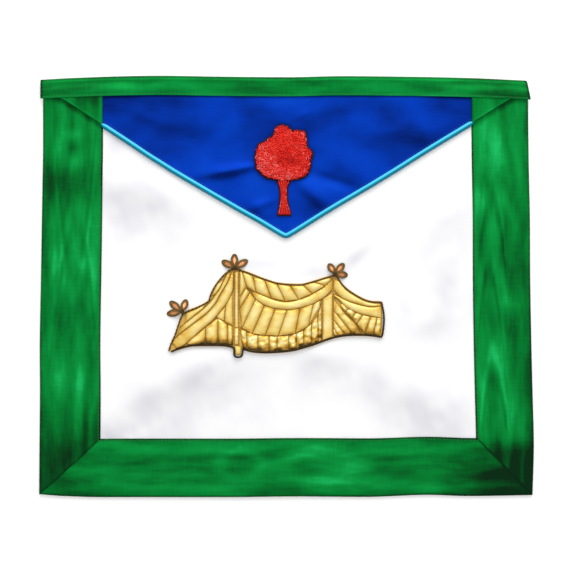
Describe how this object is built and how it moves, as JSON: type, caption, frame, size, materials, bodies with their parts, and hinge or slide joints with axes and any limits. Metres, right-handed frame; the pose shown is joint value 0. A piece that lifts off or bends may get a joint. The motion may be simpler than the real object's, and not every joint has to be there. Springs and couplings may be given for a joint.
{
  "type": "masonic apron",
  "caption": "Ceremonial apron lying flat: white satin panel in folded green moire ribbon, blue flap with piping and a padded red tree, padded gold tent below.",
  "frame": {"origin": "on the table under the middle of the apron's length and width", "axes": "+X across the apron to the right of someone who looks at its front, +Y up towards the waist band, +Z away from the table on the side of the front"},
  "size_m": [0.4109, 0.35, 0.0102],
  "materials": {
    "white_satin": "duchesse satin, soft sheen",
    "green_moire": "watered silk ribbon with fine ribs",
    "blue_satin": "royal blue satin, soft sheen",
    "turquoise_satin": "glossy satin piping",
    "red_bullion": "chip-worked coiled thread",
    "maroon_felt": "matt felt",
    "gold_lame": "padded metallic satin",
    "gold_felt": "matt felt",
    "umber_gimp": "twisted metallic cord",
    "copper_gimp": "looped metallic cord"
  },
  "bodies": {
    "root": {"satin_panel": "white_satin", "border_left": "green_moire", "border_right": "green_moire", "border_bottom": "green_moire", "top_band": "green_moire", "flap": "blue_satin", "flap_corner_left": "green_moire", "flap_corner_right": "green_moire", "flap_piping": "turquoise_satin", "tree_backing": "maroon_felt", "tree_crown": "red_bullion", "tree_trunk": "red_bullion", "tent_backing": "gold_felt", "tent_fold_inner": "gold_lame", "tent_fold_outer": "gold_lame", "tent_hood": "gold_lame", "tent_eave": "gold_lame", "tent_left_skirt": "gold_lame", "tent_gusset": "gold_lame", "tent_roof": "gold_lame", "tent_swag": "gold_lame", "tent_front_drape": "gold_lame", "tent_front_skirt": "gold_lame", "tent_right_roof": "gold_lame", "tent_right_swag": "gold_lame", "tent_right_drape": "gold_lame", "tent_right_skirt": "gold_lame", "tent_near_post": "gold_lame", "tent_tie": "gold_lame", "tent_post_foot": "gold_lame", "tent_far_post": "gold_lame", "tent_outline_cord": "umber_gimp", "finial_left": "copper_gimp", "finial_near": "copper_gimp", "finial_far": "copper_gimp"}
  },
  "joints": []
}
